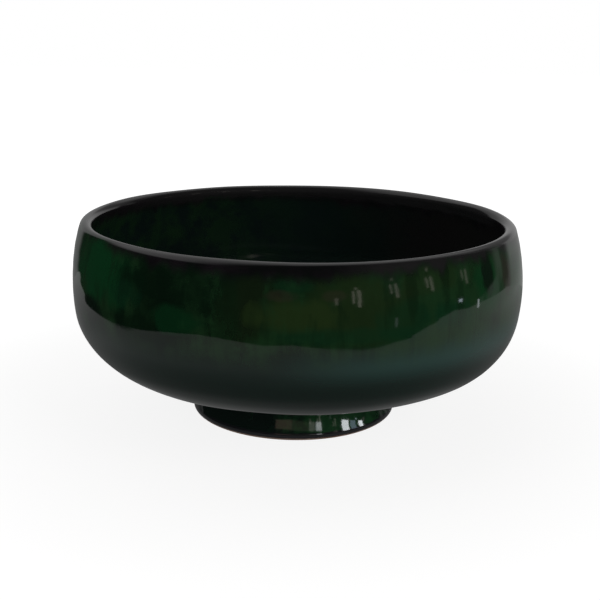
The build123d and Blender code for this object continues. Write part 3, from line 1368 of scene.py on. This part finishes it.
@dataclass(frozen=True)
class Studio:
    """A plain pale studio: white to the eye, with a bright wall behind and a dim room in front.

    Attributes:
        room: The brightness of the room in front.
        wall: The brightness of the wall behind.
        wall_low: The brightness of that wall below the horizon.
        wall_side: The brightness of the wall's near end on the right.
        ceiling: The brightness overhead.
        table: The brightness of the table top in reflections.
        floor_glow: The brightness of the floor, a little over white.
        floor_half: Half the floor's width.
        floor_shade: How much of the floor's light gives way to shadow beside the foot.
    """

    room: float = 0.012
    wall: float = 0.47
    wall_low: float = 0.29
    wall_side: float = 0.14
    ceiling: float = 0.65
    table: float = 0.29
    floor_glow: float = 1.12
    floor_half: float = 3.0
    floor_shade: float = 0.22

    def world(self) -> None:
        """Makes the surroundings: white to the camera, and the room to everything else.

        The room is a wall behind and another beside it with blinds, both brighter above the
        horizon, a ceiling that is bright towards the back, and dimness everywhere.
        """
        world = bpy.data.worlds.new("studio")
        world.use_nodes = True
        shade = Shade(world.node_tree)
        way = shade.signal("ShaderNodeTexCoord", {}, {}, "Generated")
        x, y, z = shade.split(way)
        back = shade.toward(x, y, 173.0)
        behind = shade.step(back, 0.68, 0.76)
        beside = shade.step(back + shade.step(z, 0.0, -0.09) * 0.22, 0.46, 0.54) * shade.step(x, 0.0, 0.2)
        blinds = shade.noise(shade.stretched(way, (1.0, 1.0, 0.5)), 7.0, 1.0)
        beside = beside * shade.step(blinds, 0.40, 0.58, 0.35, 1.3)
        level = shade.step(z, -0.15, 0.06, self.wall_low, self.wall)
        level = level * (1 - shade.step(z, 0.20, 0.32) * shade.step(x, -0.05, 0.20) * 0.6)
        side = shade.step(shade.toward(x, y, 90.0), -0.5, 0.3, 0.6, 1.0)
        above = shade.step(z, 0.45, 0.65) * shade.step(y - x * 0.9, -0.25, 0.55)
        near = (1 - above) * (behind * level * side + (1 - behind) * beside * self.wall_side)
        glow = near + above * self.ceiling + self.room
        to_eye = shade.signal("ShaderNodeLightPath", {}, {}, "Is Camera Ray")
        seen = shade.signal("ShaderNodeBackground", {}, {"Color": WHITE})
        felt = shade.signal("ShaderNodeBackground", {}, {"Color": WHITE, "Strength": glow})
        mixed = shade.signal("ShaderNodeMixShader", {}, {0: to_eye, 1: felt, 2: seen})
        shade.put_out(mixed, "ShaderNodeOutputWorld")
        bpy.context.scene.world = world

    @staticmethod
    def sheet(name: str, corners: list[tuple[float, float]], level: float) -> bpy.types.Object:
        """Lays a flat sheet, which isn't part of the bowl.

        Args:
            name: Its name.
            corners: Its corners as seen from above, anticlockwise.
            level: Its height.

        Returns:
            The sheet.
        """
        mesh = bpy.data.meshes.new(name)
        mesh.from_pydata([(x, y, level) for x, y in corners], [], [list(range(len(corners)))])
        sheet = bpy.data.objects.new(name, mesh)
        bpy.context.scene.collection.objects.link(sheet)
        return sheet

    def floor(self) -> None:
        """Lays the pale floor that the camera sees, white with a faint soft shadow by the foot."""
        half = self.floor_half
        corners = [(-half, -half), (half, -half), (half, half), (-half, half)]
        floor = self.sheet("floor", corners, -0.05 * MM)
        material, shade = new_finish("pale_floor")
        x, y, _ = shade.split(shade.place())
        near = shade.step(shade.reach(x, y), 0.34, 0.08) * self.floor_shade
        matt = shade.signal("ShaderNodeBsdfDiffuse", {}, {"Color": rgb(0.9, 0.9, 0.9)})
        glow = shade.glowing(self.floor_glow)
        shade.put_out(shade.signal("ShaderNodeMixShader", {}, {0: near, 1: glow, 2: matt}))
        floor.data.materials.append(material)
        floor.visible_glossy = False
        floor.visible_diffuse = False
        floor.visible_shadow = False

    def card(self) -> None:
        """Lays the table top as the glaze reflects it, with the uneven edges of things on it.

        It is dimmer in the bowl's own shade near the foot and behind.
        """
        front = [(-0.235, -0.265), (-0.185, -0.285), (-0.13, -0.272), (-0.055, -0.255)]
        front += [(-0.006, -0.276), (0.04, -0.266), (0.10, -0.264), (0.146, -0.246), (0.20, -0.238)]
        front += [(0.24, -0.222), (0.27, -0.240), (0.35, -0.245), (0.43, -0.226), (0.50, -0.235)]
        right = [(0.70, -0.195), (0.60, -0.075), (0.63, 0.03), (0.56, 0.13), (0.50, 0.22)]
        left = [(-0.33, 0.24), (-0.262, 0.10), (-0.262, 0.055), (-0.245, -0.01), (-0.230, -0.07)]
        left += [(-0.226, -0.115), (-0.232, -0.17)]
        card = self.sheet("table_card", front + right + left, -0.1 * MM)
        material, shade = new_finish("table_card")
        x, y, _ = shade.split(shade.place())
        reach = shade.reach(x, y)
        beneath = shade.step(y, -0.05, 0.07) * shade.step(x * x, 0.09, 0.02) * 0.45
        under = shade.step(reach, 0.09, 0.18, 0.38, 1.0) + shade.step(reach, 0.10, 0.07) * 0.22
        glow = under * (1 - beneath) * shade.step(x, 0.10, 0.45, 1.0, 1.18) * self.table
        shade.put_out(shade.glowing(glow))
        card.data.materials.append(material)
        card.visible_camera = False
        card.visible_shadow = False

    @staticmethod
    def foot_lamps(coat: bpy.types.Object, middle: Vector) -> None:
        """Hangs the lamps that light only the foot's coat, which the belly would keep dark.

        Args:
            coat: The foot's coat.
            middle: The point that the lamps face.
        """
        lit = bpy.data.collections.new("lit_foot")
        lit.objects.link(coat)
        tan, sky = (1.0, 0.74, 0.55), (0.92, 0.96, 1.0)
        lamps = (
            Lamp("foot_tan", -10.0, 17.0, 0.62, 0.33, 0.45, tan),
            Lamp("foot_olive", 8.0, 17.0, 0.62, 0.33, 0.20, (0.90, 1.0, 0.62)),
            Lamp("foot_bar", 28.0, 17.0, 0.19, 0.33, 4.5, sky),
            Lamp("foot_bar_shade", 21.0, 17.0, 0.20, 0.33, 0.9, (1.0, 0.96, 0.88)),
            Lamp("foot_pane", 61.0, 15.5, 0.32, 0.33, 12.0, sky),
            Lamp("foot_pane_side", 72.5, 15.0, 0.26, 0.28, 2.2, (0.62, 0.80, 1.0)),
            Lamp("foot_glint", 83.5, 14.0, 0.19, 0.19, 12.0, sky),
        )
        for lamp in lamps:
            lamp.build(middle).light_linking.receiver_collection = lit

    @staticmethod
    def window(name: str, bearing: float, rise: float, height: float, glow: float) -> list[Lamp]:
        """A window as the glaze shows it: two upright strokes and a bright dot over them.

        Args:
            name: The start of its lamps' names.
            bearing: Its direction, in degrees.
            rise: Its height above the horizon, in degrees.
            height: The height of its taller stroke.
            glow: Its brightness.

        Returns:
            Its lamps.
        """
        return [
            Lamp(f"{name}_tall", bearing + 1.2, rise - 0.8, 0.055, height, glow, BEIGE),
            Lamp(f"{name}_short", bearing - 1.4, rise + 0.6, 0.035, 0.7 * height, glow, BEIGE),
            Lamp(f"{name}_knob", bearing, rise + 6.5, 0.05, 0.05, 0.8 * glow, BEIGE),
        ]

    def build(self, middle: Vector) -> None:
        """Makes the surroundings, the floor and the lamps.

        Args:
            middle: The point that the lamps face.
        """
        self.world()
        self.floor()
        self.card()
        lamps = [
            Lamp("key", 50.0, 25.0, 0.8, 0.8, 2.4, (1.0, 0.98, 0.95), 1.2, True),
            Lamp("fill", -50.0, 25.0, 0.8, 0.8, 1.2, (1.0, 1.0, 1.0), 1.2, True),
            *self.window("window_0", 28.3, 12.3, 0.42, 1.1),
            *self.window("window_1", 46.0, 14.3, 0.32, 0.85),
            *self.window("window_2", 65.0, 13.0, 0.27, 0.85),
            *self.window("window_3", 87.0, 9.0, 0.19, 0.6),
            Lamp("window_far_left", 19.0, 11.0, 0.06, 0.16, 0.7, BEIGE),
            Lamp("glint_blue", 73.7, 2.6, 0.015, 0.010, 4.0, (0.75, 0.85, 1.0), 0.38),
            Lamp("glint_white", 77.6, 1.3, 0.004, 0.014, 3.0, (0.88, 0.94, 1.0), 0.23),
            Lamp("glint_low", 39.0, 0.6, 0.006, 0.020, 0.5, (0.86, 0.93, 1.0), 0.30),
        ]
        for lamp in lamps:
            lamp.build(middle)
        bpy.context.scene.view_settings.view_transform = "Standard"


def main() -> None:
    """Builds the camera, the studio and the bowl."""
    logging.basicConfig(level=logging.INFO, format="%(message)s")
    Eye().build()
    form = BowlForm.from_frame()
    Studio().build(Vector((0.0, 0.0, form.height / 2)))
    outside, lip, inside = form.outside(), form.lip(), form.inside()
    skin = Skin.joined([outside, lip, inside])
    lip_start = outside.length()
    lip_end = lip_start + lip.length()
    wheel = Wheel(Hand(form), Drips((lip_start + lip_end) / 2))
    clay = Clay("bare_clay").made()
    outer, inner = Glaze("green_glaze_outside").made(), InnerGlaze("green_glaze_inside").made()
    on_foot = FootGlaze("green_glaze_foot").made()
    Vessel(form, wheel, skin, lip_start, lip_end).build(outer, inner, clay)
    coat = Foot(form, wheel).build(on_foot, clay)
    Studio.foot_lamps(coat, Vector((0.0, 0.0, form.foot_height / 2)))


if __name__ == "__main__":
    main()
